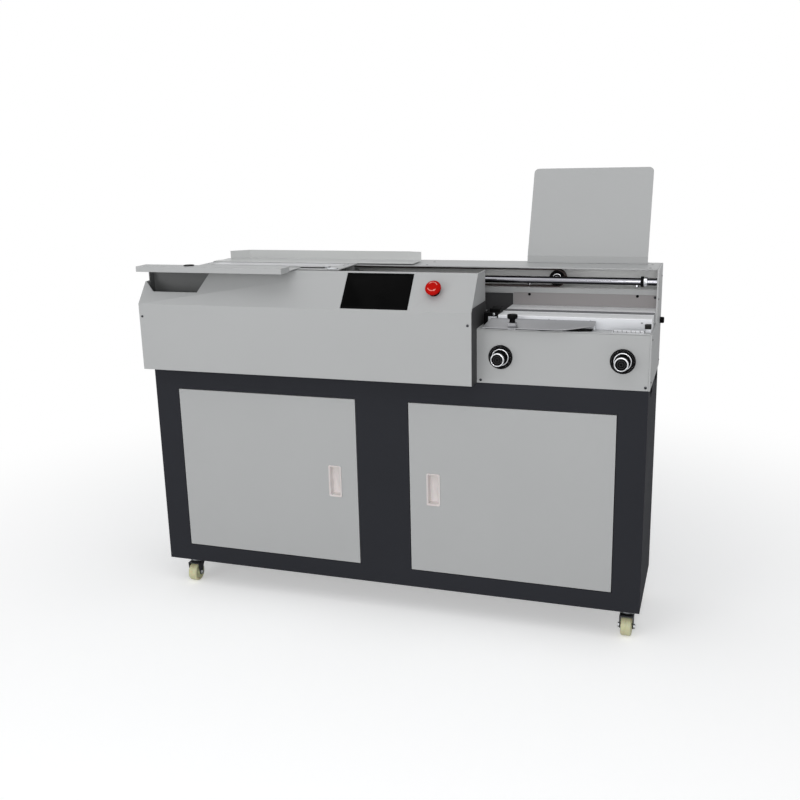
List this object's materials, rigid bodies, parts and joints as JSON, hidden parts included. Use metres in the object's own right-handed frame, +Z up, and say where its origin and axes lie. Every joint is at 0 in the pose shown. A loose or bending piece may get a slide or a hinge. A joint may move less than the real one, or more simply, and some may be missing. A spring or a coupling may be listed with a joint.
{
  "type": "floor-standing glue binding machine",
  "caption": "Glue binding machine on a castor cabinet with hinged doors, a sliding book clamp, a sloped control cover, a pressing station and a paper support.",
  "frame": {"origin": "on the floor, under the middle of the machine's outline", "axes": "+X along the machine to the pressing station, +Y to the back, +Z up"},
  "size_m": [1.3164, 0.4146, 1.1269],
  "materials": {
    "grey_paint": "satin powder coat",
    "light_paint": "satin powder coat",
    "dark_paint": "semi-gloss powder coat",
    "black_plastic": "moulded",
    "screen": "glossy black",
    "white_plastic": "moulded",
    "nylon": "cast nylon",
    "red_plastic": "moulded",
    "steel": "ground",
    "chrome": "polished",
    "aluminium": "satin",
    "zinc": "dark zinc plate",
    "belt_rubber": "woven back"
  },
  "bodies": {
    "machine": {"cabinet_frame": "dark_paint", "cabinet_back_panel": "dark_paint", "left_door_pivot": "zinc", "right_door_pivot": "zinc", "left_end_plate": "dark_paint", "inner_end_plate": "black_plastic", "right_end_plate": "grey_paint", "rear_panel": "dark_paint", "power_inlet": "black_plastic", "front_cover": "grey_paint", "touch_screen": "screen", "stop_button_ring": "black_plastic", "rear_beam": "light_paint", "guide_shaft": "chrome", "shaft_collar": "black_plastic", "drive_belt": "belt_rubber", "carriage_motor": "black_plastic", "cutter_motor": "black_plastic", "glue_tank": "aluminium", "control_box": "light_paint", "station_front_panel": "grey_paint", "station_table": "light_paint", "rear_nip_bar": "aluminium", "left_dial_ring": "black_plastic", "right_dial_ring": "black_plastic", "paper_support": "grey_paint", "front_left_castor_plate": "zinc", "front_right_castor_plate": "zinc", "rear_left_castor_plate": "zinc", "rear_right_castor_plate": "zinc"},
    "left_door": {"left_door": "grey_paint", "left_door_handle": "white_plastic"},
    "right_door": {"right_door": "grey_paint", "right_door_handle": "white_plastic"},
    "front_left_fork": {"front_left_castor_fork": "zinc"},
    "front_left_wheel": {"front_left_castor_wheel": "nylon"},
    "front_right_fork": {"front_right_castor_fork": "zinc"},
    "front_right_wheel": {"front_right_castor_wheel": "nylon"},
    "rear_left_fork": {"rear_left_castor_fork": "zinc"},
    "rear_left_wheel": {"rear_left_castor_wheel": "nylon"},
    "rear_right_fork": {"rear_right_castor_fork": "zinc"},
    "rear_right_wheel": {"rear_right_castor_wheel": "nylon"},
    "stop_stem": {"stop_button_stem": "black_plastic"},
    "stop_head": {"stop_button_head": "red_plastic"},
    "carriage": {"carriage_frame": "steel", "front_tray": "grey_paint", "rear_tray": "light_paint"},
    "rear_jaw": {"rear_jaw": "steel"},
    "tray_knob": {"tray_knob": "black_plastic"},
    "idler_pulley": {"idler_pulley": "aluminium"},
    "drive_pulley": {"drive_pulley": "aluminium"},
    "milling_cutter": {"milling_cutter": "steel"},
    "left_glue_roller": {"left_glue_roller": "steel"},
    "right_glue_roller": {"right_glue_roller": "steel"},
    "front_nip_bar": {"front_nip_bar": "aluminium"},
    "side_guide": {"side_guide": "steel"},
    "side_guide_knob": {"side_guide_knob": "black_plastic"},
    "left_dial": {"left_dial_knob": "black_plastic"},
    "right_dial": {"right_dial_knob": "black_plastic"},
    "side_knob": {"side_knob": "black_plastic"}
  },
  "joints": [
    {"name": "left_door_hinge", "type": "hinge", "parent": "machine", "child": "left_door", "pos_m": [-0.57865, -0.13935, 0.124], "axis": [0, 0, -1], "range_deg": [0, 110]},
    {"name": "right_door_hinge", "type": "hinge", "parent": "machine", "child": "right_door", "pos_m": [0.56835, -0.13935, 0.124], "axis": [0, 0, 1], "range_deg": [0, 110]},
    {"name": "front_left_swivel", "type": "hinge", "parent": "machine", "child": "front_left_fork", "pos_m": [-0.59615, -0.09935, 0.0714], "axis": [0, 0, 1], "continuous": true},
    {"name": "front_left_roll", "type": "hinge", "parent": "front_left_fork", "child": "front_left_wheel", "pos_m": [-0.59615, -0.11335, 0.025], "axis": [1, 0, 0], "continuous": true},
    {"name": "front_right_swivel", "type": "hinge", "parent": "machine", "child": "front_right_fork", "pos_m": [0.61285, -0.09935, 0.0714], "axis": [0, 0, 1], "continuous": true},
    {"name": "front_right_roll", "type": "hinge", "parent": "front_right_fork", "child": "front_right_wheel", "pos_m": [0.61285, -0.11335, 0.025], "axis": [1, 0, 0], "continuous": true},
    {"name": "rear_left_swivel", "type": "hinge", "parent": "machine", "child": "rear_left_fork", "pos_m": [-0.59615, 0.11065, 0.0714], "axis": [0, 0, 1], "continuous": true},
    {"name": "rear_left_roll", "type": "hinge", "parent": "rear_left_fork", "child": "rear_left_wheel", "pos_m": [-0.58468, 0.10262, 0.025], "axis": [0.5736, 0.8192, 0], "continuous": true},
    {"name": "rear_right_swivel", "type": "hinge", "parent": "machine", "child": "rear_right_fork", "pos_m": [0.61285, 0.11065, 0.0714], "axis": [0, 0, 1], "continuous": true},
    {"name": "rear_right_roll", "type": "hinge", "parent": "rear_right_fork", "child": "rear_right_wheel", "pos_m": [0.59969, 0.11544, 0.025], "axis": [-0.342, -0.9397, 0], "continuous": true},
    {"name": "stop_press", "type": "slide", "parent": "machine", "child": "stop_stem", "axis": [0, 0.7829, -0.6221], "range_m": [0, 0.005], "stiffness_N_per_m": 1500},
    {"name": "stop_twist", "type": "hinge", "parent": "stop_stem", "child": "stop_head", "pos_m": [0.13985, -0.15308, 0.85415], "axis": [0, -0.7829, 0.6221], "range_deg": [0, 45]},
    {"name": "carriage_slide", "type": "slide", "parent": "machine", "child": "carriage", "axis": [1, 0, 0], "range_m": [0, 0.6]},
    {"name": "rear_jaw_slide", "type": "slide", "parent": "carriage", "child": "rear_jaw", "axis": [0, 1, 0], "range_m": [-0.007, 0.041]},
    {"name": "tray_knob_turn", "type": "hinge", "parent": "carriage", "child": "tray_knob", "pos_m": [-0.50715, -0.17535, 0.9083], "axis": [0, 0, 1], "range_deg": [-180, 180]},
    {"name": "idler_pulley_turn", "type": "hinge", "parent": "machine", "child": "idler_pulley", "pos_m": [0.39785, 0.06565, 0.863], "axis": [0, 1, 0], "range_deg": [-5, 1725]},
    {"name": "drive_pulley_turn", "type": "hinge", "parent": "machine", "child": "drive_pulley", "pos_m": [-0.49515, 0.06565, 0.863], "axis": [0, 1, 0], "range_deg": [-5, 1725]},
    {"name": "cutter_spin", "type": "hinge", "parent": "machine", "child": "milling_cutter", "pos_m": [-0.12515, -0.04035, 0.771], "axis": [0, 0, 1], "continuous": true},
    {"name": "left_glue_roller_spin", "type": "hinge", "parent": "machine", "child": "left_glue_roller", "pos_m": [-0.00015, -0.04035, 0.762], "axis": [0, 1, 0], "continuous": true},
    {"name": "right_glue_roller_spin", "type": "hinge", "parent": "machine", "child": "right_glue_roller", "pos_m": [0.08985, -0.04035, 0.762], "axis": [0, 1, 0], "continuous": true},
    {"name": "front_nip_slide", "type": "slide", "parent": "machine", "child": "front_nip_bar", "axis": [0, 1, 0], "range_m": [0, 0.014]},
    {"name": "right_dial_turn", "type": "hinge", "parent": "machine", "child": "right_dial", "pos_m": [0.58445, -0.14695, 0.701], "axis": [0, 1, 0], "range_deg": [-5, 725]},
    {"name": "side_guide_slide", "type": "slide", "parent": "machine", "child": "side_guide", "axis": [1, 0, 0], "range_m": [-0.004, 0.05]},
    {"name": "left_dial_turn", "type": "hinge", "parent": "machine", "child": "left_dial", "pos_m": [0.29885, -0.14695, 0.6988], "axis": [0, 1, 0], "range_deg": [-60, 675]},
    {"name": "side_guide_knob_turn", "type": "hinge", "parent": "side_guide", "child": "side_guide_knob", "pos_m": [0.32585, -0.13835, 0.7821], "axis": [0, 0, 1], "range_deg": [-180, 180]},
    {"name": "side_knob_turn", "type": "hinge", "parent": "machine", "child": "side_knob", "pos_m": [0.64765, 0.11765, 0.755], "axis": [1, 0, 0], "range_deg": [-180, 180]}
  ],
  "couplings": [
    {"joint": "idler_pulley_turn", "follows": "carriage_slide", "rad_per_m": 50},
    {"joint": "drive_pulley_turn", "follows": "carriage_slide", "rad_per_m": 50},
    {"joint": "right_glue_roller_spin", "follows": "left_glue_roller_spin", "ratio": 1},
    {"joint": "right_dial_turn", "follows": "front_nip_slide", "rad_per_m": 897.6},
    {"joint": "left_dial_turn", "follows": "side_guide_slide", "rad_per_m": 232.71}
  ]
}
